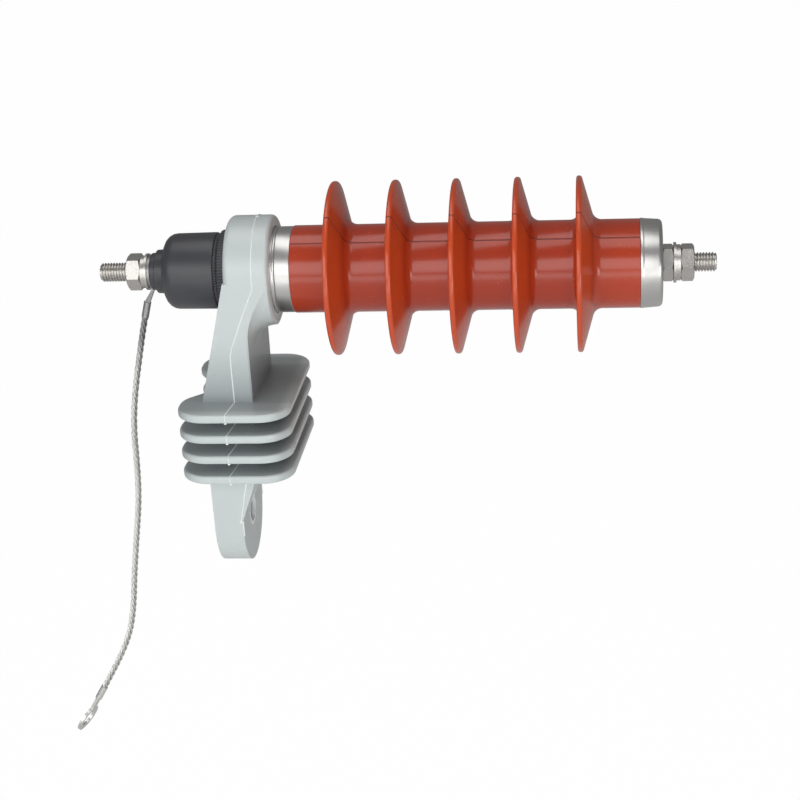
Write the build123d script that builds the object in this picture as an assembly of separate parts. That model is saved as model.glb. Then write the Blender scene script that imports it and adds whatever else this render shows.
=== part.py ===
from build123d import *
import math
import os

# Distribution surge arrester with an insulating bracket, a ground lead
# disconnector and a stranded ground lead. Millimetres.
#
# Frame: the origin is the centre of the bracket's bolt hole on the seat face.
# +X runs along the arrester towards its line terminal, +Z runs up the bracket
# arm from the foot to the ring, and the lead hangs below the disconnector.

# ---- arrester body ----
AXIS_HEIGHT = 136.3
CORE_R = 22.7
SHED_R = 45.0
SHED_COUNT = 5
SHED_PITCH = 31.3
SHED_RIM = 2.7
SHED_ROOT = 9.0
SHED_LEAN = 0.8
LAST_SHED_REACH = 31.8
ROOT_FILLET = 4.0
RIM_FILLET = 1.25
FIRST_SHED_X = 54.0
SILICONE_START_X = 33.65
CAP_WALL = 1.05
CAP_FLOOR = 2.0
CAP_INSET = 0.35
CAP_LIP = 0.3
CAP_TAPER = 0.8
CAP_CORNER = 2.4
CAP_RIM_EASE = 0.4
LINE_CAP_L = 11.2

# ---- arrester inside ----
TUBE_OUTER_R = 19.0
TUBE_WALL = 2.5
FLANGE = 4.0
PLUG_GROUND = 18.0
DISC_CLEARANCE = 0.5
DISC_H = 25.0
DISC_COUNT = 5
SPACER_H = 18.0
DISC_SPRING_H = 3.0
DISC_SPRING_T = 1.5
DISC_SPRING_BORE = 6.0

# ---- terminal hardware, M10 ----
STUD_R = 5.0
THREAD_R = 4.5
STUD_CHAMFER = 0.9
STUD_DEPTH = 14.0
NUT_FLATS = 17.0
NUT_ROUND_R = 9.35
NUT_CHAMFER = 1.1
JAM_NUT_H = 5.7
LINE_WASHER_R = 10.3
LINE_WASHER_T = 1.3
SPRING_R = 9.2
SPRING_T = 2.2
SPRING_GAP = 1.8
SPRING_GAP_SLANT = 28.0
WASHER_BORE_R = 5.4
LINE_NUT_H = 6.8
LINE_STUD_REACH = 27.25
GROUND_NUT_H = 7.5
GROUND_NUT_TURN = 7.0
GROUND_SPRING_R = 8.5
GROUND_WASHER_R = 9.6
GROUND_STUD_END_X = -69.9

# ---- bracket ----
RING_R = 28.6
RING_END_X = 23.7
RING_EASE_BACK = 3.6
RING_EASE_FRONT = 2.2
WEB_T = 11.0
SOCKET_R = 22.7
WEB_HOLE_R = 5.5
FOOT_R = 27.8
FOOT_T = 15.9
FOOT_TIP_T = 15.2
ARM_BACK = 15.9
ARM_FRONT = 11.0
ARM_BACK_TOP_Z = 137.5
SEAT_TOP_Z = 4.8
SEAT_RAMP_Z = 35.0
BLEND_R = 12.0
BOLT_HOLE_R = 7.0
BOLT_HOLE_CHAMFER = 1.0
FIN_TOP_Z = 73.1
FIN_PITCH = 11.3
FIN_COUNT = 4
FIN_T = 4.4
FIN_BACK_X = -27.9
FIN_FRONT_X = 31.5
FIN_HALF_Y = 47.3
FIN_CORNER = 15.7
FIN_EASE = 1.3
NOTCH_FLOOR = 0.9
NOTCH_FLOOR_HALF = 9.5
FIN_LOBE_W = 24.3
NOTCH_CORNER = 13.5

# ---- disconnector ----
COVER_LIP = 1.3
DISC_COVER_T = 4.55
GROOVE_DEPTH = 0.7
GROOVE_END_X = -6.6
COVER_SPIGOT = 2.4
COVER_CLEARANCE = 0.5
SHELL_R = 20.0
SHELL_WALL = 3.1
SHELL_SHOULDER = 8.0
SHELL_END_X = -34.5
SHELL_FLOOR = 3.0
SHOULDER_LEDGE = 0.4
NOSE_RIM = 1.7
NOSE_STEP = 3.0
NOSE_EASE = 1.0
NOSE_END_X = -42.55
PLATE_CLEARANCE = 2.9
PLATE_T = 3.0
RESISTOR_BORE_R = 7.5
RESISTOR_H = 15.0
CARTRIDGE_R = 3.2
STUD_HEAD_R = 12.0

# ---- ground lead: a rope of tinned strands between two crimped lugs ----
LEAD_D = 3.5
LEAD_ROUTE = [
    (-49.1, 0.0, 111.4),
    (-51.2, 0.0, 103.4),
    (-54.3, 0.0, 90.0),
    (-59.0, 0.0, 69.0),
    (-62.0, 0.0, 48.0),
    (-62.3, 0.0, 24.0),
    (-63.6, 0.0, 4.0),
    (-67.6, 0.0, -20.0),
    (-71.0, 0.0, -42.0),
    (-73.5, 0.0, -62.0),
    (-77.6, 0.0, -79.0),
    (-86.3, 0.0, -97.0),
    (-96.0, 0.0, -113.2),
]
ROUTE_SHARE = 0.45
LUG_T = 1.5
LUG_EYE_R = 8.6
LUG_NECK_HALF = 2.6
BARREL_R = 1.95
BARREL_L = 8.6
NECK_WAIST = 0.75
NECK_DROP = 0.3
LOWER_EYE_R = 8.4
LOWER_HOLE_R = 5.25
LOWER_LUG_T = 1.5
LOWER_NECK = 7.0
LOWER_LUG_TWIST = 16.0

TUBE_INNER_R = TUBE_OUTER_R - TUBE_WALL
DISC_R = TUBE_INNER_R - DISC_CLEARANCE
CAP_R_GROUND = CORE_R - CAP_INSET
CAPPED_R = CAP_R_GROUND - CAP_WALL
CAP_R_LINE_RIM = CORE_R + CAP_LIP
CAP_R_LINE_END = CAP_R_LINE_RIM - CAP_TAPER

ARRESTER_AXIS = Axis((0, 0, AXIS_HEIGHT), (1, 0, 0))

# ---- stations along the axis that follow from the sizes above ----
SILICONE_END_X = FIRST_SHED_X + (SHED_COUNT - 1) * SHED_PITCH + LAST_SHED_REACH
LINE_CAP_END_X = SILICONE_END_X + LINE_CAP_L
LINE_STUD_END_X = LINE_CAP_END_X + LINE_STUD_REACH
CAP_START_X = WEB_T
GROUND_FLANGE_X = CAP_START_X + CAP_FLOOR
TUBE_START_X = GROUND_FLANGE_X + FLANGE
LINE_FLANGE_END_X = LINE_CAP_END_X - CAP_FLOOR
TUBE_END_X = LINE_FLANGE_END_X - FLANGE
STACK_START_X = TUBE_START_X + PLUG_GROUND
STACK_END_X = STACK_START_X + DISC_COUNT * DISC_H
SPACER_END_X = STACK_END_X + SPACER_H
SPRINGS_END_X = SPACER_END_X + 2 * DISC_SPRING_H
LINE_WASHER_X = LINE_CAP_END_X + JAM_NUT_H
LINE_SPRING_X = LINE_WASHER_X + LINE_WASHER_T
LINE_NUT_X = LINE_SPRING_X + SPRING_T
LUG_X = NOSE_END_X - LUG_T
GROUND_WASHER_X = LUG_X - LINE_WASHER_T
GROUND_SPRING_X = GROUND_WASHER_X - SPRING_T
GROUND_NUT_X = GROUND_SPRING_X - GROUND_NUT_H
PLATE_X = GROOVE_END_X - COVER_SPIGOT - PLATE_T
RESISTOR_X = PLATE_X - RESISTOR_H
CAVITY_END_X = SHELL_END_X + SHELL_FLOOR
DISC_COVER_R = SHELL_R + COVER_LIP
COVER_RECESS_R = DISC_COVER_R + COVER_CLEARANCE
GROOVE_R = SHELL_R - GROOVE_DEPTH
NOSE_R = SHELL_R - SHELL_SHOULDER - SHOULDER_LEDGE
NOSE_STEP_R = NOSE_R - NOSE_RIM
PLATE_R = SHELL_R - SHELL_WALL - PLATE_CLEARANCE
NOTCH_MOUTH_HALF = FIN_HALF_Y - FIN_LOBE_W


# ---- helpers ----
def turned(profile, radii=None):
    """Solid of revolution about the arrester axis from (x, radius) corners.

    radii gives the rounding at each corner, or none for sharp corners.
    """
    points = [(x, 0, AXIS_HEIGHT + r) for x, r in profile]
    if radii is None:
        outline = Polyline(*points, close=True)
    else:
        outline = FilletPolyline(*points, radius=radii, close=True)
    return revolve(make_face(outline), axis=ARRESTER_AXIS)


def disc(x0, x1, radius, bore=0.0):
    """Plain disc or ring on the arrester axis."""
    return turned([(x0, bore), (x1, bore), (x1, radius), (x0, radius)])


def stud(inner_x, nut_x, tip_x):
    """M10 stud: its pitch radius where it is screwed in, full size beyond the nut."""
    outward = 1 if tip_x > nut_x else -1
    return turned([
        (inner_x, 0),
        (inner_x, THREAD_R),
        (nut_x, THREAD_R),
        (nut_x, STUD_R),
        (tip_x - outward * STUD_CHAMFER, STUD_R),
        (tip_x, STUD_R - STUD_CHAMFER),
        (tip_x, 0),
    ])


def hex_nut(x0, height, turn_angle=0.0):
    """Hexagon nut with both faces chamfered, on a plain bore."""
    plane = Plane(origin=(x0, 0, AXIS_HEIGHT), x_dir=(0, 1, 0), z_dir=(1, 0, 0))
    blank = plane * Rot(0, 0, turn_angle) * RegularPolygon(NUT_FLATS / 2, 6, major_radius=False)
    prism = extrude(blank, height)
    corner_r = NUT_FLATS / math.sqrt(3) + 1
    slope = (corner_r - NUT_ROUND_R + NUT_CHAMFER) * math.tan(math.radians(30))
    envelope = turned([
        (x0, 0),
        (x0 + height, 0),
        (x0 + height, NUT_ROUND_R - NUT_CHAMFER),
        (x0 + height - slope, corner_r),
        (x0 + slope, corner_r),
        (x0, NUT_ROUND_R - NUT_CHAMFER),
    ])
    return (prism & envelope) - disc(x0, x0 + height, THREAD_R)


def split_washer(x0, radius, gap_angle):
    """Spring washer: a square-section ring with a slanting gap."""
    ring = disc(x0, x0 + SPRING_T, radius, WASHER_BORE_R)
    cutter = Box(2 * SPRING_T, SPRING_GAP, radius)
    slanted = Rot(0, 0, SPRING_GAP_SLANT) * cutter
    placed = Pos(x0 + SPRING_T / 2, 0, AXIS_HEIGHT) * Rot(gap_angle, 0, 0)
    return ring - placed * Pos(0, 0, (radius + WASHER_BORE_R) / 2) * slanted


# ---- arrester ----
def silicone_housing():
    """Moulded silicone body with its five sheds, hollow for the core tube."""
    ends = 0.3
    profile = [
        (GROUND_FLANGE_X, CAPPED_R),
        (SILICONE_START_X, CAPPED_R),
        (SILICONE_START_X, CORE_R),
    ]
    radii = [0.0, 0.0, ends]
    for index in range(SHED_COUNT):
        x = FIRST_SHED_X + index * SHED_PITCH
        profile += [
            (x + SHED_LEAN, CORE_R),
            (x, SHED_R),
            (x + SHED_RIM, SHED_R),
            (x + SHED_ROOT, CORE_R),
        ]
        radii += [ROOT_FILLET, RIM_FILLET, RIM_FILLET, ROOT_FILLET]
    profile += [
        (SILICONE_END_X, CORE_R),
        (SILICONE_END_X, CAPPED_R),
        (LINE_FLANGE_END_X, CAPPED_R),
        (LINE_FLANGE_END_X, TUBE_OUTER_R),
        (GROUND_FLANGE_X, TUBE_OUTER_R),
    ]
    radii += [ends, 0.0, 0.0, 0.0, 0.0]
    return turned(profile, radii)


def ground_end_cap():
    """Pressed steel cup over the ground end, seated in the bracket ring."""
    x0, x1 = CAP_START_X, SILICONE_START_X
    return turned(
        [
            (x0, WEB_HOLE_R),
            (x0, CAP_R_GROUND),
            (x1, CAP_R_GROUND),
            (x1, CAPPED_R),
            (x0 + CAP_FLOOR, CAPPED_R),
            (x0 + CAP_FLOOR, WEB_HOLE_R),
        ],
        [0.0, CAP_RIM_EASE, CAP_RIM_EASE, 0.0, 0.0, 0.0],
    )


def line_end_cap():
    """Polished steel cup over the line end, slightly tapered."""
    x0, x1 = SILICONE_END_X, LINE_CAP_END_X
    return turned(
        [
            (x0, CAPPED_R),
            (x0, CAP_R_LINE_RIM),
            (x1, CAP_R_LINE_END),
            (x1, THREAD_R),
            (x1 - CAP_FLOOR, THREAD_R),
            (x1 - CAP_FLOOR, CAPPED_R),
        ],
        [0.0, CAP_RIM_EASE, CAP_CORNER, 0.0, 0.0, 0.0],
    )


def ground_electrode():
    """Aluminium end fitting that plugs the tube and takes the ground stud."""
    bore_end = GROUND_FLANGE_X + STUD_DEPTH
    return turned([
        (GROUND_FLANGE_X, THREAD_R),
        (GROUND_FLANGE_X, TUBE_OUTER_R),
        (TUBE_START_X, TUBE_OUTER_R),
        (TUBE_START_X, TUBE_INNER_R),
        (STACK_START_X, TUBE_INNER_R),
        (STACK_START_X, 0),
        (bore_end, 0),
        (bore_end, THREAD_R),
    ])


def line_electrode():
    """Aluminium end fitting that plugs the tube and takes the line stud."""
    bore_end = LINE_FLANGE_END_X - STUD_DEPTH
    return turned([
        (SPRINGS_END_X, 0),
        (SPRINGS_END_X, TUBE_INNER_R),
        (TUBE_END_X, TUBE_INNER_R),
        (TUBE_END_X, TUBE_OUTER_R),
        (LINE_FLANGE_END_X, TUBE_OUTER_R),
        (LINE_FLANGE_END_X, THREAD_R),
        (bore_end, THREAD_R),
        (bore_end, 0),
    ])


def contact_springs():
    """Two conical disc springs, rim to rim, that press the stack together."""
    height, thick = DISC_SPRING_H, DISC_SPRING_T
    x0 = SPACER_END_X
    first = turned([
        (x0, DISC_SPRING_BORE),
        (x0 + thick, DISC_SPRING_BORE),
        (x0 + height, DISC_R),
        (x0 + height - thick, DISC_R),
    ])
    x1 = SPRINGS_END_X
    second = turned([
        (x1, DISC_SPRING_BORE),
        (x1 - thick, DISC_SPRING_BORE),
        (x1 - height, DISC_R),
        (x1 - height + thick, DISC_R),
    ])
    return Compound(children=[first, second])


# ---- bracket ----
def side_outline():
    """Bracket arm and foot seen along Y, as an (x, z) face."""
    corners = [
        (0, ARM_BACK_TOP_Z),
        (-ARM_BACK, FIN_TOP_Z),
        (-FOOT_T, SEAT_RAMP_Z),
        (-FOOT_TIP_T, -FOOT_R),
        (0, -FOOT_R),
        (0, SEAT_TOP_Z),
        (ARM_FRONT, SEAT_RAMP_Z),
        (ARM_FRONT, AXIS_HEIGHT),
    ]
    return make_face(Polyline(*[(x, 0, z) for x, z in corners], close=True))


def front_outline():
    """Ring, arm and foot seen along X: two circles and their tangents."""
    plane = Plane(origin=(0, 0, 0), x_dir=(0, 1, 0), z_dir=(1, 0, 0))
    ring = plane * Pos(0, AXIS_HEIGHT) * Circle(RING_R)
    foot = plane * Circle(FOOT_R)
    lean = math.asin((RING_R - FOOT_R) / AXIS_HEIGHT)
    reach, rise = math.cos(lean), -math.sin(lean)
    sides = make_face(Polyline(
        (0, FOOT_R * reach, FOOT_R * rise),
        (0, RING_R * reach, AXIS_HEIGHT + RING_R * rise),
        (0, -RING_R * reach, AXIS_HEIGHT + RING_R * rise),
        (0, -FOOT_R * reach, FOOT_R * rise),
        close=True,
    ))
    return ring, foot, sides


def bracket_arm():
    """Arm and foot: the side outline cut to the front outline."""
    prism = extrude(side_outline(), 2 * RING_R, both=True)
    length = 2 * (ARM_BACK + RING_END_X)
    slabs = [extrude(face, length, both=True) for face in front_outline()]
    column = slabs[0] + slabs[1] + slabs[2]
    return prism & column, column


def bracket_ring():
    """Ring that holds the arrester's ground end."""
    return turned(
        [(0, 0), (RING_END_X, 0), (RING_END_X, RING_R), (0, RING_R)],
        [0.0, 0.0, RING_EASE_FRONT, RING_EASE_BACK],
    )


def ring_blend(column):
    """Hollow curve that carries the ring's underside into the arm."""
    x0, x1 = ARM_FRONT, ARM_FRONT + BLEND_R
    r0, r1 = RING_R, RING_R + BLEND_R
    low = (x1, 0, AXIS_HEIGHT + r0)
    high = (x0, 0, AXIS_HEIGHT + r1)
    middle_shift = BLEND_R * (1 - math.sqrt(0.5))
    middle = (x0 + middle_shift, 0, AXIS_HEIGHT + r0 + middle_shift)
    curve = ThreePointArc(low, middle, high)
    sides = Polyline(high, (0, 0, AXIS_HEIGHT + r1), (0, 0, AXIS_HEIGHT + WEB_HOLE_R),
                     (x1, 0, AXIS_HEIGHT + WEB_HOLE_R), low)
    body = revolve(make_face(curve + sides), axis=ARRESTER_AXIS)
    lower_half = Pos(0, 0, AXIS_HEIGHT - 2 * RING_R) * Box(4 * RING_R, 4 * RING_R, 4 * RING_R)
    return body & column & lower_half


def fin(z_top):
    """One flat fin round the arm, open behind it, with rounded edges."""
    floor_x = NOTCH_FLOOR - ARM_BACK
    outline = FilletPolyline(
        (FIN_FRONT_X, -FIN_HALF_Y),
        (FIN_FRONT_X, FIN_HALF_Y),
        (FIN_BACK_X, FIN_HALF_Y),
        (FIN_BACK_X, NOTCH_MOUTH_HALF),
        (floor_x, NOTCH_FLOOR_HALF),
        (floor_x, -NOTCH_FLOOR_HALF),
        (FIN_BACK_X, -NOTCH_MOUTH_HALF),
        (FIN_BACK_X, -FIN_HALF_Y),
        radius=[FIN_CORNER] * 3 + [NOTCH_CORNER, 0.0, 0.0, NOTCH_CORNER, FIN_CORNER],
        close=True,
    )
    plate = extrude(make_face(outline), FIN_T)
    rims = plate.edges().filter_by(Axis.Z, reverse=True)
    rounded = fillet(rims.filter_by(lambda rim: rim.center().X < floor_x - 1 or rim.center().X > 0), FIN_EASE)
    return Pos(0, 0, z_top - FIN_T) * rounded


def bolt_hole():
    """Cutter for the foot's bolt hole, opened at the seat face."""
    length = 2 * FOOT_T
    bore = Pos(-FOOT_T / 2, 0, 0) * Rot(0, 90, 0) * Cylinder(BOLT_HOLE_R, length)
    mouth = Rot(0, 90, 0) * Cone(
        BOLT_HOLE_R - BOLT_HOLE_CHAMFER, BOLT_HOLE_R + BOLT_HOLE_CHAMFER, 2 * BOLT_HOLE_CHAMFER)
    return bore + mouth


def mounting_bracket():
    """One grey moulding: ring, arm, four fins and bolt-down foot."""
    arm, column = bracket_arm()
    body = arm + bracket_ring() + ring_blend(column)
    for index in range(FIN_COUNT):
        body += fin(FIN_TOP_Z - index * FIN_PITCH)
    body -= disc(WEB_T, 2 * RING_END_X, SOCKET_R)
    body -= disc(-FOOT_T, 2 * WEB_T, WEB_HOLE_R)
    body -= disc(-2 * ARM_BACK, 0, COVER_RECESS_R)
    return body - bolt_hole()


# ---- disconnector ----
def disconnector_cover():
    """Ribbed cover of the disconnector, clamped on the bracket ring."""
    return turned([
        (0, THREAD_R),
        (0, DISC_COVER_R),
        (-DISC_COVER_T, DISC_COVER_R),
        (-DISC_COVER_T, GROOVE_R),
        (GROOVE_END_X, GROOVE_R),
        (GROOVE_END_X, SHELL_R - SHELL_WALL),
        (GROOVE_END_X - COVER_SPIGOT, SHELL_R - SHELL_WALL),
        (GROOVE_END_X - COVER_SPIGOT, THREAD_R),
    ])


def disconnector_shell():
    """Dark moulded shell with a rounded shoulder and a stepped nose."""
    return turned(
        [
            (GROOVE_END_X, SHELL_R - SHELL_WALL),
            (GROOVE_END_X, SHELL_R),
            (SHELL_END_X, SHELL_R),
            (SHELL_END_X, NOSE_R),
            (NOSE_END_X + NOSE_STEP, NOSE_R),
            (NOSE_END_X + NOSE_STEP, NOSE_STEP_R),
            (NOSE_END_X, NOSE_STEP_R),
            (NOSE_END_X, THREAD_R),
            (CAVITY_END_X, THREAD_R),
            (CAVITY_END_X, SHELL_R - SHELL_WALL),
        ],
        [0.0, NOSE_EASE, SHELL_SHOULDER, 0.0, NOSE_EASE / 2, 0.0, NOSE_EASE, 0.0, 0.0, 0.0],
    )


def disconnector_stud():
    """Headed M10 stud that leaves with the lead when the device operates."""
    shank = stud(CAVITY_END_X, GROUND_NUT_X, GROUND_STUD_END_X)
    return shank + disc(CAVITY_END_X, RESISTOR_X, STUD_HEAD_R)


# ---- ground lead ----
def lead_path():
    """Route of the lead: straight runs joined by tangent arcs."""
    points = [Vector(*point) for point in LEAD_ROUTE]
    runs = [after - before for before, after in zip(points, points[1:])]
    radii = []
    for before, after in zip(runs, runs[1:]):
        half_turn = math.radians(before.get_angle(after)) / 2
        radii.append(ROUTE_SHARE * min(before.length, after.length) / math.tan(half_turn))
    print("lead radii:", [round(radius, 1) for radius in radii])
    return FilletPolyline(*LEAD_ROUTE, radius=radii), runs


def ground_lead():
    """Plain tube of the rope's outer diameter along its route."""
    path, runs = lead_path()
    section = Plane(origin=LEAD_ROUTE[0], z_dir=runs[0]) * Circle(LEAD_D / 2)
    tube = sweep(section, path=path)
    share = tube.volume / (math.pi * (LEAD_D / 2) ** 2 * path.length)
    print("lead length", round(path.length, 1), "volume share", round(share, 4))
    return tube


def barrel(end, away):
    """Crimped barrel that grips the rope's end, pointing away from it."""
    return extrude(Plane(origin=end, z_dir=away) * Circle(BARREL_R), BARREL_L)


def lead_lug_upper():
    """Ring lug under the ground nut, bent down to the barrel on the rope."""
    start = Vector(*LEAD_ROUTE[0])
    away = (start - Vector(*LEAD_ROUTE[1])).normalized()
    top = start + away * BARREL_L
    eye = disc(LUG_X, NOSE_END_X, LUG_EYE_R, WASHER_BORE_R)
    root_z = AXIS_HEIGHT - GROUND_WASHER_R - NECK_DROP
    root = Plane(origin=(LUG_X + LUG_T / 2, 0, root_z), x_dir=(0, 1, 0), z_dir=(0, 0, 1))
    tongue = extrude(root * Rectangle(2 * LUG_NECK_HALF, LUG_T), AXIS_HEIGHT - LUG_EYE_R + LUG_T - root_z)
    low = Plane(origin=top, x_dir=(0, 1, 0), z_dir=away)
    waist = 2 * BARREL_R * NECK_WAIST
    neck = loft([low * Rectangle(waist, waist), root * Rectangle(2 * LUG_NECK_HALF, LUG_T)])
    return eye + tongue + neck + barrel(start, away)


def lead_lug_lower():
    """Flat ring lug crimped on the rope's free end."""
    end = Vector(*LEAD_ROUTE[-1])
    away = (end - Vector(*LEAD_ROUTE[-2])).normalized()
    neck_start = BARREL_L
    eye_centre = neck_start + LOWER_NECK + LOWER_EYE_R
    frame = Plane(origin=end, x_dir=(0, 1, 0), z_dir=away) * Rot(0, 0, LOWER_LUG_TWIST)
    flat = Rot(90, 0, 0)
    eye = Pos(0, 0, eye_centre) * flat * Cylinder(LOWER_EYE_R, LOWER_LUG_T)
    hole = Pos(0, 0, eye_centre) * flat * Cylinder(LOWER_HOLE_R, 4 * LOWER_LUG_T)
    neck_length = LOWER_NECK + LOWER_EYE_R - LOWER_HOLE_R
    neck_mid = neck_start + neck_length / 2
    neck = Pos(0, 0, neck_mid) * Box(2 * LUG_NECK_HALF, LOWER_LUG_T, neck_length)
    body = frame * ((eye + neck) - hole)
    return body + barrel(end, away)


# ---- all pieces ----
def pieces():
    """Every sub-part by node name."""
    parts = {
        "silicone_housing": silicone_housing(),
        "fibreglass_tube": disc(TUBE_START_X, TUBE_END_X, TUBE_OUTER_R, TUBE_INNER_R),
        "ground_end_cap": ground_end_cap(),
        "line_end_cap": line_end_cap(),
        "ground_electrode": ground_electrode(),
        "line_electrode": line_electrode(),
        "spacer_block": disc(STACK_END_X, SPACER_END_X, DISC_R),
        "contact_springs": contact_springs(),
        "line_stud": stud(LINE_FLANGE_END_X - STUD_DEPTH, LINE_NUT_X + LINE_NUT_H, LINE_STUD_END_X),
        "line_jam_nut": hex_nut(LINE_CAP_END_X, JAM_NUT_H),
        "line_flat_washer": disc(LINE_WASHER_X, LINE_SPRING_X, LINE_WASHER_R, WASHER_BORE_R),
        "line_spring_washer": split_washer(LINE_SPRING_X, SPRING_R, 170.0),
        "line_nut": hex_nut(LINE_NUT_X, LINE_NUT_H),
        "mounting_bracket": mounting_bracket(),
        "ground_stud": disc(PLATE_X, GROUND_FLANGE_X + STUD_DEPTH, THREAD_R),
        "disconnector_cover": disconnector_cover(),
        "disconnector_shell": disconnector_shell(),
        "disconnector_plate": disc(PLATE_X, PLATE_X + PLATE_T, PLATE_R, THREAD_R),
        "grading_resistor": disc(RESISTOR_X, PLATE_X, PLATE_R, RESISTOR_BORE_R),
        "release_cartridge": disc(RESISTOR_X, PLATE_X, CARTRIDGE_R),
        "disconnector_stud": disconnector_stud(),
        "ground_flat_washer": disc(GROUND_WASHER_X, LUG_X, GROUND_WASHER_R, WASHER_BORE_R),
        "ground_spring_washer": split_washer(GROUND_SPRING_X, GROUND_SPRING_R, 150.0),
        "ground_nut": hex_nut(GROUND_NUT_X, GROUND_NUT_H, GROUND_NUT_TURN),
        "lead_lug_upper": lead_lug_upper(),
        "ground_lead": ground_lead(),
        "lead_lug_lower": lead_lug_lower(),
    }
    for index in range(DISC_COUNT):
        x = STACK_START_X + index * DISC_H
        parts[f"varistor_disc_{index + 1}"] = disc(x, x + DISC_H, DISC_R)
    return parts


os.makedirs("parts", exist_ok=True)
for name, solid in pieces().items():
    export_step(solid, f"parts/{name}.step")
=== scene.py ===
import math

import bmesh
import bpy
from mathutils import Matrix, Vector


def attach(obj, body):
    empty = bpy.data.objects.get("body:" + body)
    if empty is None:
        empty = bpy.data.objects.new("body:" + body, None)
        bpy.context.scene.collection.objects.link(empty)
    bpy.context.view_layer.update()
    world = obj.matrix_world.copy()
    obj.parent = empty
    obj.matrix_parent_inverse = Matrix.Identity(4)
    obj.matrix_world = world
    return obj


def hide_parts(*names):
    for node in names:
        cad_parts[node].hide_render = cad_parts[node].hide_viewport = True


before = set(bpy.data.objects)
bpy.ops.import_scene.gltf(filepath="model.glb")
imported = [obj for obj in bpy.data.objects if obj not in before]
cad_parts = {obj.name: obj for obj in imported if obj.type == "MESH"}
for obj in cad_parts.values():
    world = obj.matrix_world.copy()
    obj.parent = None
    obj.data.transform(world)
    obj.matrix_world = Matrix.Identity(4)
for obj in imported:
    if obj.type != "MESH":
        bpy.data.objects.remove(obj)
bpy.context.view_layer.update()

MM = 0.001
AXIS_Z = 0.1363
FULL_TURN = 2 * math.pi


# ---------------------------------------------------------------- camera
def place_camera():
    """Camera a little above the arrester and to the line end's side."""
    camera = bpy.data.objects.new("camera", bpy.data.cameras.new("camera"))
    bpy.context.scene.collection.objects.link(camera)
    camera.data.sensor_width = 36
    camera.data.lens = 81.65
    camera.data.clip_start = 0.05
    camera.data.clip_end = 50
    turn = Matrix((
        (0.99357, 0.00923, 0.11287),
        (0.10181, 0.36368, -0.92594),
        (-0.04960, 0.93147, 0.36040),
    ))
    camera.matrix_world = Matrix.Translation((0.19327, -0.89302, 0.41026)) @ turn.to_4x4()
    bpy.context.scene.camera = camera


place_camera()


# ---------------------------------------------------------------- finishes
class Field:
    """A number that varies over a surface: one output of a node."""

    def __init__(self, finish, socket):
        self.finish = finish
        self.socket = socket

    def math(self, operation, first, second=0.0):
        return self.finish.field("ShaderNodeMath", {"operation": operation}, {0: first, 1: second})

    def __add__(self, other):
        return self.math("ADD", self, other)

    __radd__ = __add__

    def __sub__(self, other):
        return self.math("SUBTRACT", self, other)

    def __rsub__(self, other):
        return self.math("SUBTRACT", other, self)

    def __mul__(self, other):
        return self.math("MULTIPLY", self, other)

    __rmul__ = __mul__

    def __abs__(self):
        return self.math("ABSOLUTE", self)

    def sine(self):
        return self.math("SINE", self)

    def power(self, exponent):
        return self.math("POWER", self, exponent)


class Finish:
    """A procedural material that is built on one Principled shader."""

    def __init__(self, name, **plain):
        self.material = bpy.data.materials.new(name)
        self.material.use_nodes = True
        self.tree = self.material.node_tree
        self.shader = self.tree.nodes["Principled BSDF"]
        for label, value in plain.items():
            self.shader.inputs[label.capitalize()].default_value = value
        place = self.node("ShaderNodeTexCoord").outputs["Object"]
        self.place = place
        split = self.node("ShaderNodeSeparateXYZ", None, {0: place})
        self.x, self.y, self.z = (Field(self, output) for output in split.outputs)

    def node(self, kind, settings=None, inputs=None):
        """One node: its settings first, then the values or links of its sockets."""
        node = self.tree.nodes.new(kind)
        for label, value in (settings or {}).items():
            setattr(node, label, value)
        for label, value in (inputs or {}).items():
            self.feed(node.inputs[label], value)
        return node

    def field(self, kind, settings=None, inputs=None, output=0):
        return Field(self, self.node(kind, settings, inputs).outputs[output])

    def feed(self, socket, value):
        if isinstance(value, Field):
            value = value.socket
        if isinstance(value, bpy.types.NodeSocket):
            self.tree.links.new(value, socket)
        else:
            socket.default_value = value

    def set(self, label, value):
        self.feed(self.shader.inputs[label], value)

    def noise(self, scale, detail=2.0, roughness=0.5, stretch=(1, 1, 1)):
        """Soft noise from 0 to 1, stretched along the part's axes."""
        place = self.field("ShaderNodeVectorMath", {"operation": "MULTIPLY"},
                           {0: self.place, 1: stretch})
        return self.field("ShaderNodeTexNoise", None,
                          {"Vector": place, "Scale": scale, "Detail": detail, "Roughness": roughness})

    def step(self, value, low, high):
        """0 below low, 1 above high, smooth between."""
        return self.field("ShaderNodeMapRange", {"interpolation_type": "SMOOTHSTEP"},
                          {0: value, 1: low, 2: high})

    def blend(self, factor, first, second):
        """Colour from first to second as factor goes from 0 to 1."""
        return self.field("ShaderNodeMix", {"data_type": "RGBA"},
                          {0: factor, 6: first, 7: second}, output=2)

    def bump(self, height, distance, strength=1.0):
        """Raises the surface by height times distance, in metres."""
        node = self.node("ShaderNodeBump", None,
                         {"Height": height, "Distance": distance, "Strength": strength})
        self.set("Normal", node.outputs["Normal"])


def colour(red, green, blue):
    return (red, green, blue, 1.0)


def distance(first, second):
    """Distance from an axis, from the two offsets across it."""
    return (first * first + second * second).power(0.5)


SEAM_ANGLE = math.radians(51)
GRIP_RIBS = 84


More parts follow.
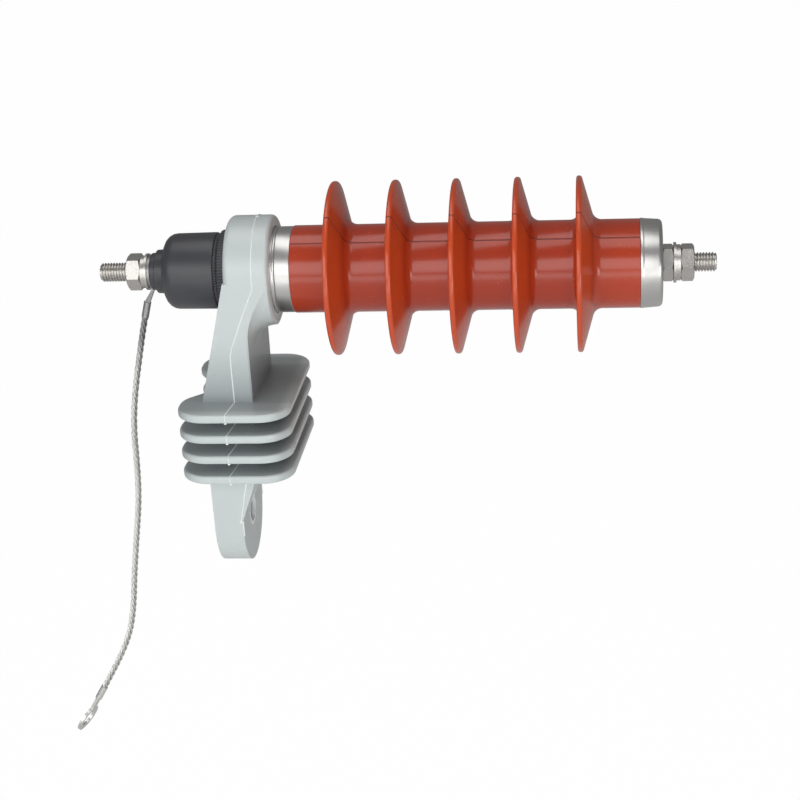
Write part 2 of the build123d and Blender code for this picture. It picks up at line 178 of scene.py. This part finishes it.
def silicone_finish():
    """Gloss orange-red silicone with a flash line where the mould closes."""
    finish = Finish("silicone", roughness=0.3)
    offset = finish.y * math.sin(SEAM_ANGLE) + (finish.z - AXIS_Z) * math.cos(SEAM_ANGLE)
    seam = 1 - finish.step(abs(offset), 0.00016, 0.0005)
    drift = finish.noise(35, 3.0)
    speck = finish.step(finish.noise(420, 2.0), 0.66, 0.74)
    body = finish.blend(drift, colour(0.46, 0.050, 0.012), colour(0.53, 0.068, 0.017))
    # Painted shade: the core and the shed roots, inside 23.5 to 34 mm from the axis, are darkened towards
    # deep red.
    radius = distance(finish.y, finish.z - AXIS_Z)
    core = 1 - finish.step(radius, 0.0235, 0.034)
    body = finish.blend(core * 0.75, body, colour(0.33, 0.030, 0.010))
    # Pale specks at random over the colour that carries the painted shade.
    tone_with_painted_shade = finish.blend(speck * 0.10, body, colour(0.70, 0.24, 0.14))
    finish.set("Base Color", finish.blend(seam * 0.75, tone_with_painted_shade, colour(0.13, 0.013, 0.008)))
    finish.set("Roughness", 0.17 + 0.08 * finish.noise(60, 3.0) + 0.2 * seam)
    finish.bump(seam + 0.05 * finish.noise(260, 2.0) + 0.10 * drift, 0.0003)
    return finish.material


def bracket_finish():
    """Light grey gloss moulding compound.

    A pale ring round the bolt hole is a painted highlight on its chamfer, and
    the arm and fins carry painted shade where they shelter each other and under the ring.
    """
    finish = Finish("bracket_grey", roughness=0.25)
    flow = finish.noise(16, 3.0, 0.55, (1, 1, 0.4))
    grain = finish.noise(900, 2.0)
    base = finish.blend(flow, colour(0.470, 0.520, 0.515), colour(0.520, 0.568, 0.560))
    reach = distance(finish.y, finish.z)
    # Painted highlight: a near-white ring on the chamfer round the bolt hole, which the bump also raises.
    rim = finish.step(reach, 0.0064, 0.0071) * (1 - finish.step(reach, 0.0088, 0.0094))
    rim = rim * (1 - finish.step(abs(finish.x), 0.0012, 0.0022))
    # Painted shade: the arm and fins are darkened from 30 to 112 mm up, inside the fins' reach.
    painted_shade_band = finish.step(finish.z, 0.030, 0.042) * (1 - finish.step(finish.z, 0.072, 0.112))
    inner = (1 - finish.step(abs(finish.y), 0.038, 0.0465)) * (1 - finish.step(finish.x, 0.024, 0.0308))
    tone_with_painted_shade = finish.blend(painted_shade_band * inner * 0.70, base, colour(0.215, 0.240, 0.250))
    # More painted shade: the arm's inner face under the ring, 70 to 118 mm up, is darkened further.
    under_ring_shade = finish.step(finish.z, 0.070, 0.077) * (1 - finish.step(finish.z, 0.098, 0.118))
    inside_arm = finish.step(finish.x, 0.0095, 0.0115) * (1 - finish.step(abs(finish.y), 0.0285, 0.030))
    tone_with_painted_shade = finish.blend(under_ring_shade * inside_arm * 0.6, tone_with_painted_shade, colour(0.12, 0.13, 0.135))
    finish.set("Base Color", finish.blend(rim * 0.9, tone_with_painted_shade, colour(0.84, 0.86, 0.85)))
    finish.set("Roughness", 0.22 + 0.10 * finish.noise(30, 3.0) + 0.04 * grain)
    finish.bump(0.5 * finish.noise(60, 2.0) + 0.02 * grain + 1.2 * rim, 0.00016)
    return finish.material


def bead_highlight_finish():
    """The same compound, much paler along its mould line: a painted highlight."""
    finish = Finish("bracket_mould_line", roughness=0.35)
    tone = finish.noise(300, 2.0)
    finish.set("Base Color", finish.blend(tone, colour(0.74, 0.78, 0.77), colour(0.82, 0.85, 0.84)))
    finish.set("Roughness", 0.3 + 0.15 * tone)
    return finish.material


def shell_finish():
    """Dark slate moulding with a satin skin and faint turning marks."""
    finish = Finish("shell_black", roughness=0.4)
    grain = finish.noise(700, 3.0)
    scuff = finish.step(finish.noise(50, 6.0, 0.75), 0.60, 0.72)
    base = finish.blend(finish.noise(25), colour(0.030, 0.031, 0.036), colour(0.044, 0.045, 0.051))
    finish.set("Base Color", finish.blend(scuff * 0.25, base, colour(0.12, 0.125, 0.13)))
    finish.set("Roughness", 0.34 + 0.1 * finish.noise(60) + 0.12 * scuff)
    finish.bump(0.4 * grain + 0.6 * finish.noise(80), 0.00012)
    return finish.material


def cover_finish():
    """The shell's material with fine grip ribs along the cover's rim."""
    finish = Finish("cover_black", roughness=0.45)
    angle = finish.field("ShaderNodeMath", {"operation": "ARCTAN2"}, {0: finish.y, 1: finish.z - AXIS_Z})
    ribs = (angle * GRIP_RIBS).sine() * 0.5 + 0.5
    # Painted shade: the grooves between the grip ribs are darker than the crests.
    base = finish.blend(ribs, colour(0.026, 0.027, 0.031), colour(0.044, 0.046, 0.052))
    finish.set("Base Color", base)
    finish.set("Roughness", 0.4 + 0.1 * finish.noise(200))
    finish.bump(ribs, 0.0004)
    return finish.material


def polished_finish():
    """Spun stainless steel, polished, with fine rings and small scratches."""
    finish = Finish("polished_steel", metallic=1.0, roughness=0.2)
    rings = finish.noise(1600, 2.0, 0.6, (1, 0.02, 0.02))
    haze = finish.noise(60, 4.0, 0.65)
    scratch = finish.step(finish.noise(240, 5.0, 0.7, (0.15, 1, 1)), 0.63, 0.67)
    finish.set("Base Color", finish.blend(haze, colour(0.49, 0.485, 0.47), colour(0.58, 0.575, 0.56)))
    finish.set("Roughness", 0.24 + 0.06 * haze + 0.12 * rings + 0.08 * scratch)
    finish.bump(rings + 0.5 * scratch, 0.00001)
    return finish.material


def plated_finish(name, low, high, rough):
    """Bright plated steel with a slightly uneven plating."""
    finish = Finish(name, metallic=1.0, roughness=rough)
    cloud = finish.noise(220, 4.0, 0.65)
    pit = finish.step(finish.noise(1500, 3.0), 0.62, 0.7)
    toned = finish.blend(cloud, low, high)
    finish.set("Base Color", finish.blend(pit * 0.3, toned, colour(0.30, 0.29, 0.27)))
    finish.set("Roughness", rough - 0.06 + 0.16 * cloud + 0.1 * pit)
    finish.bump(cloud - pit, 0.00003)
    return finish.material


def tinned_finish():
    """Tinned copper wire, darker and rougher at its top, where it leaves the disconnector."""
    finish = Finish("tinned_copper", metallic=1.0, roughness=0.34)
    cloud = finish.noise(220, 4.0, 0.65)
    toned = finish.blend(cloud, colour(0.56, 0.56, 0.54), colour(0.78, 0.78, 0.75))
    # Darker and rougher above about 0.1 m, just under the disconnector.
    darker_top = finish.step(finish.z + 0.02 * finish.noise(90), 0.088, 0.112)
    finish.set("Base Color", finish.blend(darker_top * 0.72, toned, colour(0.20, 0.20, 0.21)))
    finish.set("Roughness", 0.28 + 0.16 * cloud + 0.1 * darker_top)
    finish.bump(cloud, 0.00003)
    return finish.material


def plain_finish(name, low, high, rough, scale, metallic=0.0):
    """Sealed inner pieces: a mottled, evenly rough surface."""
    finish = Finish(name, metallic=metallic, roughness=rough)
    tone = finish.noise(scale, 3.0, 0.6)
    finish.set("Base Color", finish.blend(tone, low, high))
    finish.set("Roughness", rough - 0.05 + 0.1 * tone)
    finish.bump(tone, 0.00005)
    return finish.material


SILICONE = silicone_finish()
BRACKET = bracket_finish()
BEAD = bead_highlight_finish()
SHELL = shell_finish()
COVER = cover_finish()
POLISHED = polished_finish()
PLATED = plated_finish("plated_steel", colour(0.46, 0.445, 0.42), colour(0.58, 0.560, 0.535), 0.33)
THREAD = plated_finish("plated_thread", colour(0.48, 0.465, 0.44), colour(0.60, 0.58, 0.555), 0.32)
TINNED = tinned_finish()
ALUMINIUM = plain_finish("aluminium", colour(0.66, 0.67, 0.68), colour(0.76, 0.77, 0.78), 0.35, 300, 1.0)
VARISTOR = plain_finish("varistor", colour(0.08, 0.08, 0.09), colour(0.14, 0.14, 0.15), 0.7, 600)
GLASS_FIBRE = plain_finish("glass_fibre", colour(0.62, 0.58, 0.36), colour(0.74, 0.70, 0.48), 0.5, 400)
RESISTOR = plain_finish("resistor", colour(0.12, 0.12, 0.11), colour(0.20, 0.20, 0.19), 0.8, 500)
BRASS = plain_finish("brass", colour(0.66, 0.48, 0.18), colour(0.76, 0.57, 0.25), 0.3, 300, 1.0)

NODE_FINISH = {
    "mounting_bracket": BRACKET,
    "ground_end_cap": POLISHED,
    "line_end_cap": POLISHED,
    "silicone_housing": SILICONE,
    "disconnector_shell": SHELL,
    "disconnector_cover": COVER,
    "fibreglass_tube": GLASS_FIBRE,
    "ground_electrode": ALUMINIUM,
    "line_electrode": ALUMINIUM,
    "spacer_block": ALUMINIUM,
    "grading_resistor": RESISTOR,
    "release_cartridge": BRASS,
    "ground_lead": TINNED,
    "lead_lug_upper": TINNED,
    "lead_lug_lower": TINNED,
}


def dress_frame():
    """Gives each CAD piece its finish."""
    for name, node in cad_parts.items():
        finish = VARISTOR if name.startswith("varistor_disc") else NODE_FINISH.get(name, PLATED)
        node.data.materials.clear()
        node.data.materials.append(finish)


dress_frame()


# ---------------------------------------------------------------- making pieces
def finish_piece(name, bm, material, replaced=(), sharp=35):
    """Turns a bmesh into a smooth-shaded piece on the part's one body."""
    mesh = bpy.data.meshes.new(name)
    bm.to_mesh(mesh)
    bm.free()
    return add_piece(name, mesh, material, replaced, sharp)


def add_piece(name, mesh, material, replaced=(), sharp=35):
    for face in mesh.polygons:
        face.use_smooth = True
    mesh.set_sharp_from_angle(angle=math.radians(sharp))
    mesh.materials.clear()
    mesh.materials.append(material)
    piece = bpy.data.objects.new(name, mesh)
    bpy.context.scene.collection.objects.link(piece)
    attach(piece, "root")
    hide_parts(*replaced)
    return piece


def axis_radius(point):
    return math.hypot(point.y, point.z - AXIS_Z)


def lathe(profile, steps=160):
    """Closed ring of revolution about the arrester axis.

    profile holds (x, radius, rounding) corners in millimetres.
    """
    bm = bmesh.new()
    corners = [bm.verts.new((x * MM, 0, AXIS_Z + radius * MM)) for x, radius, _ in profile]
    edges = [bm.edges.new(pair) for pair in zip(corners, corners[1:] + corners[:1])]
    bmesh.ops.spin(bm, geom=corners + edges, cent=(0, 0, AXIS_Z), axis=(1, 0, 0),
                   angle=FULL_TURN, steps=steps, use_merge=True)
    bmesh.ops.remove_doubles(bm, verts=bm.verts, dist=1e-6)
    bmesh.ops.recalc_face_normals(bm, faces=bm.faces)
    for x, radius, rounding in profile:
        if rounding:
            round_rim(bm, x * MM, radius * MM, rounding * MM)
    return bm


def round_rim(bm, x, radius, rounding):
    """Rounds the circular edge at that station and radius."""
    rim = [
        edge for edge in bm.edges
        if all(abs(v.co.x - x) < 1e-6 and abs(axis_radius(v.co) - radius) < 1e-6 for v in edge.verts)
    ]
    bmesh.ops.bevel(bm, geom=rim, offset=rounding, offset_type="OFFSET", affect="EDGES",
                    segments=5, profile=0.5, material=-1)


# ---------------------------------------------------------------- arrester body
CORE_R = 22.7
CAPPED_R = 21.3
SHED_R = 45.0
FIRST_SHED_X = 54.0
SHED_PITCH = 31.3
SHED_COUNT = 5


def make_housing():
    """Silicone body with its five sheds."""
    profile = [(13.0, CAPPED_R, 0), (33.65, CAPPED_R, 0), (33.65, CORE_R, 0.3)]
    for index in range(SHED_COUNT):
        x = FIRST_SHED_X + index * SHED_PITCH
        profile += [
            (x + 0.8, CORE_R, 4.0),
            (x, SHED_R, 1.2),
            (x + 2.7, SHED_R, 1.0),
            (x + 9.0, CORE_R, 3.4),
        ]
    profile += [
        (211.0, CORE_R, 0.3), (211.0, CAPPED_R, 0), (220.2, CAPPED_R, 0), (220.2, 19.0, 0), (13.0, 19.0, 0),
    ]
    finish_piece("housing", lathe(profile, 192), SILICONE, ["silicone_housing"], 50)


def make_line_cap():
    """Polished cup with a rolled lip, slightly tapered to its rounded end."""
    profile = [
        (211.0, 21.3, 0), (211.0, 22.9, 0.3), (212.2, 22.95, 0.3), (212.9, 22.75, 0.2),
        (222.2, 22.1, 2.2), (222.2, 5.05, 0), (220.2, 5.05, 0), (220.2, 21.3, 0),
    ]
    finish_piece("line_cap", lathe(profile), POLISHED, ["line_end_cap"], 40)


def make_ground_cap():
    """Steel cup seated in the bracket ring, with a rolled bead at its lip."""
    profile = [
        (11.0, 5.5, 0), (11.0, 22.35, 0.4), (24.4, 22.35, 0.1), (24.9, 22.05, 0.1),
        (25.6, 22.05, 0.1), (26.1, 22.3, 0.1), (33.65, 22.35, 0.3), (33.65, 21.3, 0),
        (13.0, 21.3, 0), (13.0, 5.5, 0),
    ]
    finish_piece("ground_cap", lathe(profile), POLISHED, ["ground_end_cap"], 40)


# ---------------------------------------------------------------- threads
PITCH = 1.5
TURN_STEPS = 30


def threaded_rod(x0, x1, tip):
    """Helical M10 thread from x0 to x1 in millimetres, chamfered at the tip."""
    bm = bmesh.new()
    tooth = [(0.0, 4.12), (0.18, 4.12), (0.68, 4.96), (0.95, 4.96), (PITCH, 4.12)]
    start = x0 - PITCH
    corners = [bm.verts.new(((start + x) * MM, 0, AXIS_Z + radius * MM)) for x, radius in tooth]
    edges = [bm.edges.new(pair) for pair in zip(corners, corners[1:])]
    turns = math.ceil((x1 - x0) / PITCH) + 2
    bmesh.ops.spin(bm, geom=corners + edges, cent=(0, 0, AXIS_Z), axis=(1, 0, 0),
                   dvec=(PITCH * MM / TURN_STEPS, 0, 0), angle=FULL_TURN * turns,
                   steps=TURN_STEPS * turns)
    bmesh.ops.remove_doubles(bm, verts=bm.verts, dist=4e-6)
    for x, side in ((x0, -1), (x1, 1)):
        geom = bm.verts[:] + bm.edges[:] + bm.faces[:]
        bmesh.ops.bisect_plane(bm, geom=geom, plane_co=(x * MM, 0, 0), plane_no=(side, 0, 0),
                               clear_outer=True)
        rim = [edge for edge in bm.edges if edge.is_boundary
               and all(abs(v.co.x - x * MM) < 1e-6 for v in edge.verts)]
        bmesh.ops.edgeloop_fill(bm, edges=rim)
    for vert in bm.verts:
        depth = abs(vert.co.x - tip * MM)
        limit = 4.0 * MM + depth
        radius = axis_radius(vert.co)
        if depth < 0.001 and radius > limit:
            vert.co.y *= limit / radius
            vert.co.z = AXIS_Z + (vert.co.z - AXIS_Z) * limit / radius
    bmesh.ops.recalc_face_normals(bm, faces=bm.faces)
    return bm


def make_studs():
    """The two M10 studs that show outside, cut with their real thread."""
    finish_piece("line_stud_thread", threaded_rod(206.2, 249.45, 249.45), THREAD,
                 ["line_stud"], 30)
    finish_piece("ground_stud_thread", threaded_rod(-69.9, -31.6, -69.9), THREAD, (), 30)
    head = lathe([(-31.5, 0.4, 0), (-31.5, 12.0, 0.4), (-27.0, 12.0, 0.4), (-27.0, 0.4, 0)], 64)
    finish_piece("ground_stud_head", head, PLATED, ["disconnector_stud"])


# ---------------------------------------------------------------- disconnector
def make_disconnector():
    """Dark moulded shell with a rounded shoulder and a stepped nose."""
    shell = [
        (-6.6, 16.9, 0), (-6.6, 19.9, 0.5), (-8.0, 20.0, 0.1), (-34.5, 19.7, 6.5), (-34.5, 11.6, 0.8),
        (-39.35, 11.4, 0.5), (-39.55, 9.9, 0.1), (-42.55, 9.7, 0.8), (-42.55, 5.05, 0),
        (-31.5, 5.05, 0), (-31.5, 16.9, 0),
    ]
    finish_piece("disconnector_case", lathe(shell), SHELL, ["disconnector_shell"], 45)
    cover = [
        (0.0, 5.05, 0), (0.0, 21.2, 0.2), (-3.9, 21.2, 0.5), (-4.6, 20.3, 0.3), (-5.2, 19.2, 0.3),
        (-6.6, 19.3, 0.2), (-6.6, 16.9, 0), (-9.0, 16.9, 0), (-9.0, 5.05, 0),
    ]
    finish_piece("disconnector_lid", lathe(cover), COVER, ["disconnector_cover"], 45)


# ---------------------------------------------------------------- ground lead
LEAD_ROUTE = [
    (-0.0491, 0.0, 0.1114),
    (-0.0512, 0.0, 0.1034),
    (-0.0543, 0.0, 0.0900),
    (-0.0590, 0.0, 0.0690),
    (-0.0620, 0.0, 0.0480),
    (-0.0623, 0.0, 0.0240),
    (-0.0636, 0.0, 0.0040),
    (-0.0676, 0.0, -0.0200),
    (-0.0710, 0.0, -0.0420),
    (-0.0735, 0.0, -0.0620),
    (-0.0776, 0.0, -0.0790),
    (-0.0863, 0.0, -0.0970),
    (-0.0960, 0.0, -0.1132),
]
LEAD_R = 0.00175
ROUTE_STEP = 0.0008
STRANDS = 4
STRAND_R = 0.00072
WIRES = 6
WIRE_R = 0.00026
WIRE_SIDES = 5
STRAND_LAY = 0.015
WIRE_LAY = 0.009


def route_line():
    """Points along the lead's smooth centre line."""
    curve = bpy.data.curves.new("lead_route", "CURVE")
    curve.dimensions = "3D"
    spline = curve.splines.new("NURBS")
    spline.points.add(len(LEAD_ROUTE) - 1)
    for point, place in zip(spline.points, LEAD_ROUTE):
        point.co = (*place, 1)
    spline.order_u = 3
    spline.use_endpoint_u = True
    spline.resolution_u = 24
    holder = bpy.data.objects.new("lead_route", curve)
    mesh = bpy.data.meshes.new_from_object(holder)
    line = [vert.co.copy() for vert in mesh.vertices]
    bpy.data.objects.remove(holder)
    bpy.data.meshes.remove(mesh)
    bpy.data.curves.remove(curve)
    return line


def even_steps(line, step):
    """(point, tangent, distance) at even steps along a line of points."""
    lengths = [0.0]
    for before, after in zip(line, line[1:]):
        lengths.append(lengths[-1] + (after - before).length)
    count = round(lengths[-1] / step)
    stations, index = [], 0
    for number in range(count + 1):
        distance = lengths[-1] * number / count
        while index < len(line) - 2 and lengths[index + 1] < distance:
            index += 1
        share = (distance - lengths[index]) / (lengths[index + 1] - lengths[index])
        point = line[index].lerp(line[index + 1], share)
        stations.append((point, (line[index + 1] - line[index]).normalized(), distance))
    return stations


def add_tube(bm, centres, radius, sides):
    """Tube of one wire along its own points, closed at both ends."""
    across = Vector((0, 1, 0))
    rings = []
    for index, centre in enumerate(centres):
        ahead = centres[min(index + 1, len(centres) - 1)] - centres[max(index - 1, 0)]
        side = ahead.cross(across).normalized()
        up = side.cross(ahead).normalized()
        rings.append([
            bm.verts.new(centre + radius * (side * math.cos(turn) + up * math.sin(turn)))
            for turn in (FULL_TURN * k / sides for k in range(sides))
        ])
    for low, high in zip(rings, rings[1:]):
        for k in range(sides):
            bm.faces.new((low[k], low[(k + 1) % sides], high[(k + 1) % sides], high[k]))
    bm.faces.new(rings[0][::-1])
    bm.faces.new(rings[-1])


def make_lead():
    """Rope of four strands, each laid up from tinned wires round a core."""
    line = route_line()
    stations = even_steps(line, ROUTE_STEP)
    reach = STRAND_R - WIRE_R
    bm = bmesh.new()
    for strand in range(STRANDS):
        for wire in range(WIRES):
            centres = []
            for point, ahead, distance in stations:
                side = ahead.cross(Vector((0, 1, 0))).normalized()
                up = side.cross(ahead).normalized()
                lay = FULL_TURN * (strand / STRANDS + distance / STRAND_LAY)
                outward = side * math.cos(lay) + up * math.sin(lay)
                sideways = up * math.cos(lay) - side * math.sin(lay)
                twist = FULL_TURN * (wire / WIRES - distance / WIRE_LAY) + lay
                centres.append(
                    point + outward * (LEAD_R - STRAND_R)
                    + reach * (outward * math.cos(twist) + sideways * math.sin(twist)))
            add_tube(bm, centres, WIRE_R, WIRE_SIDES)
    bmesh.ops.recalc_face_normals(bm, faces=bm.faces)
    rope = finish_piece("ground_rope", bm, TINNED, ["ground_lead"], 80)


# ---------------------------------------------------------------- mould lines on the bracket
BEAD_R = 0.00031


def bead(name, paths, radius):
    """Fine raised lines along lists of points, half sunk in the surface."""
    curve = bpy.data.curves.new(name, "CURVE")
    curve.dimensions = "3D"
    curve.bevel_depth = radius
    curve.bevel_resolution = 2
    curve.use_fill_caps = True
    for path in paths:
        spline = curve.splines.new("POLY")
        spline.points.add(len(path) - 1)
        for point, place in zip(spline.points, path):
            point.co = (*[value * MM for value in place], 1)
    holder = bpy.data.objects.new(name, curve)
    mesh = bpy.data.meshes.new_from_object(holder)
    bpy.data.objects.remove(holder)
    bpy.data.curves.remove(curve)
    return add_piece(name, mesh, BEAD)


NUB_R = 0.0007
RING_R = 28.6
FOOT_R = 27.8
FIN_T = 4.4
FIN_TOPS = [73.1, 61.8, 50.5, 39.2]
RING_LINE_X = 15.3
ROOT_LINE_X = 1.2
RIM_LINE_X = -0.6
ARM_LINE = [
    (RING_LINE_X, 137.0), (15.1, 134.0), (8.2, 118.2), (2.3, 103.4), (1.1, 98.8), (1.0, 94.0),
    (ROOT_LINE_X, FIN_TOPS[0]),
]


def ring_line():
    """Half turn over the top of the ring."""
    start = math.radians(1.0)
    turns = [start + (math.pi - 2 * start) * k / 48 for k in range(49)]
    reach = RING_R + 0.02
    return [
        (RING_LINE_X, -reach * math.cos(turn), AXIS_Z / MM + reach * math.sin(turn)) for turn in turns
    ]


def fin_line(side, top):
    """Across one fin's upper face, round its edge and back along its underside."""
    low = top - FIN_T
    edge = [
        (45.9, top), (46.7, top - 0.4), (47.05, top - 1.3), (47.05, low + 1.3), (46.7, low + 0.4),
        (45.9, low), (28.0, low),
    ]
    return [(ROOT_LINE_X, side * 28.0, top)] + [(RIM_LINE_X, side * y, z) for y, z in edge]


def make_mould_lines():
    """Flash line round the ring, down the arm and over the fins' edges, with its small nubs."""
    lean = (RING_R - FOOT_R) * MM / AXIS_Z
    paths = [ring_line()]
    nubs = [[(RING_LINE_X - 0.8, 0, 164.6), (RING_LINE_X + 0.8, 0, 164.6)]]
    for side in (-1, 1):
        paths.append([(x, side * (FOOT_R + 0.02 + lean * z), z) for x, z in ARM_LINE])
        paths += [fin_line(side, top) for top in FIN_TOPS]
        for top, low in zip(FIN_TOPS, FIN_TOPS[1:]):
            paths.append([(RIM_LINE_X, side * 28.15, top - FIN_T), (ROOT_LINE_X, side * 28.1, low)])
        paths.append([(5.2, side * 28.0, 34.9), (2.0, side * 27.9, 20.0), (-0.9, side * 27.82, 5.0)])
        paths.append([(0.15, side * 27.6, z) for z in (4.8, 0.0, -4.0)])
        nubs += [[(RIM_LINE_X, side * 46.2, z - 3.9), (RIM_LINE_X, side * 46.2, z - 4.9)] for z in FIN_TOPS]
        nubs.append([(-0.9, side * 27.7, 5.6), (-0.9, side * 27.7, 3.8)])
    bead("bracket_mould_line", paths, BEAD_R)
    bead("bracket_nubs", nubs, NUB_R)


make_housing()
make_line_cap()
make_ground_cap()
make_studs()
make_disconnector()
make_lead()
make_mould_lines()


# ---------------------------------------------------------------- floor and light
FLOOR_Z = -0.32
FLOOR_GLOW = 0.985
SURROUND_LIGHT = 0.24


def make_floor():
    """Wide pale floor below the lead's end, white to the eye, that keeps the shadow."""
    bm = bmesh.new()
    bmesh.ops.create_grid(bm, x_segments=1, y_segments=1, size=9,
                          matrix=Matrix.Translation((0, 3, FLOOR_Z)))
    mesh = bpy.data.meshes.new("floor")
    bm.to_mesh(mesh)
    bm.free()
    floor = bpy.data.objects.new("floor", mesh)
    bpy.context.scene.collection.objects.link(floor)
    pale = Finish("floor_white", roughness=0.9)
    pale.set("Base Color", colour(0.92, 0.92, 0.92))
    rays = pale.node("ShaderNodeLightPath")
    seen = Field(pale, rays.outputs["Is Camera Ray"])
    glow = pale.node("ShaderNodeEmission", None, {"Color": colour(1, 1, 1), "Strength": 1.0})
    mix = pale.node("ShaderNodeMixShader", None, {
        0: seen * FLOOR_GLOW, 1: pale.shader.outputs[0], 2: glow.outputs[0]})
    pale.feed(pale.tree.nodes["Material Output"].inputs["Surface"], mix.outputs[0])
    mesh.materials.append(pale.material)


def add_lamp(name, place, target, width, height, power):
    """Soft rectangular lamp that faces its target."""
    light = bpy.data.lights.new(name, "AREA")
    light.shape = "RECTANGLE"
    light.size, light.size_y = width, height
    light.energy = power
    lamp = bpy.data.objects.new(name, light)
    bpy.context.scene.collection.objects.link(lamp)
    aim = (Vector(target) - Vector(place)).to_track_quat("-Z", "Y")
    lamp.matrix_world = Matrix.Translation(place) @ aim.to_matrix().to_4x4()


def make_light():
    """Broad key from above the front, low fills, a strip overhead and a pale surround."""
    world = bpy.data.worlds.new("surround")
    bpy.context.scene.world = world
    world.use_nodes = True
    tree = world.node_tree
    ground = tree.nodes["Background"]
    ground.inputs["Color"].default_value = colour(1, 1, 1)
    ground.inputs["Strength"].default_value = SURROUND_LIGHT
    white = tree.nodes.new("ShaderNodeBackground")
    white.inputs["Color"].default_value = colour(1, 1, 1)
    white.inputs["Strength"].default_value = 1.0
    rays = tree.nodes.new("ShaderNodeLightPath")
    mix = tree.nodes.new("ShaderNodeMixShader")
    tree.links.new(rays.outputs["Is Camera Ray"], mix.inputs[0])
    tree.links.new(ground.outputs[0], mix.inputs[1])
    tree.links.new(white.outputs[0], mix.inputs[2])
    tree.links.new(mix.outputs[0], tree.nodes["World Output"].inputs["Surface"])
    centre = (0.08, 0, 0.1)
    add_lamp("key_lamp", (-0.45, -1.85, 0.75), centre, 3.0, 1.1, 26)
    add_lamp("fill_lamp", (1.5, -1.5, -0.02), centre, 1.0, 0.5, 8)
    add_lamp("low_lamp", (0.0, -1.6, -0.22), centre, 2.2, 0.5, 7)
    add_lamp("top_lamp", (0.0, -0.1, 1.8), centre, 2.0, 0.9, 11)


make_floor()
make_light()
bpy.context.scene.view_settings.view_transform = "Standard"
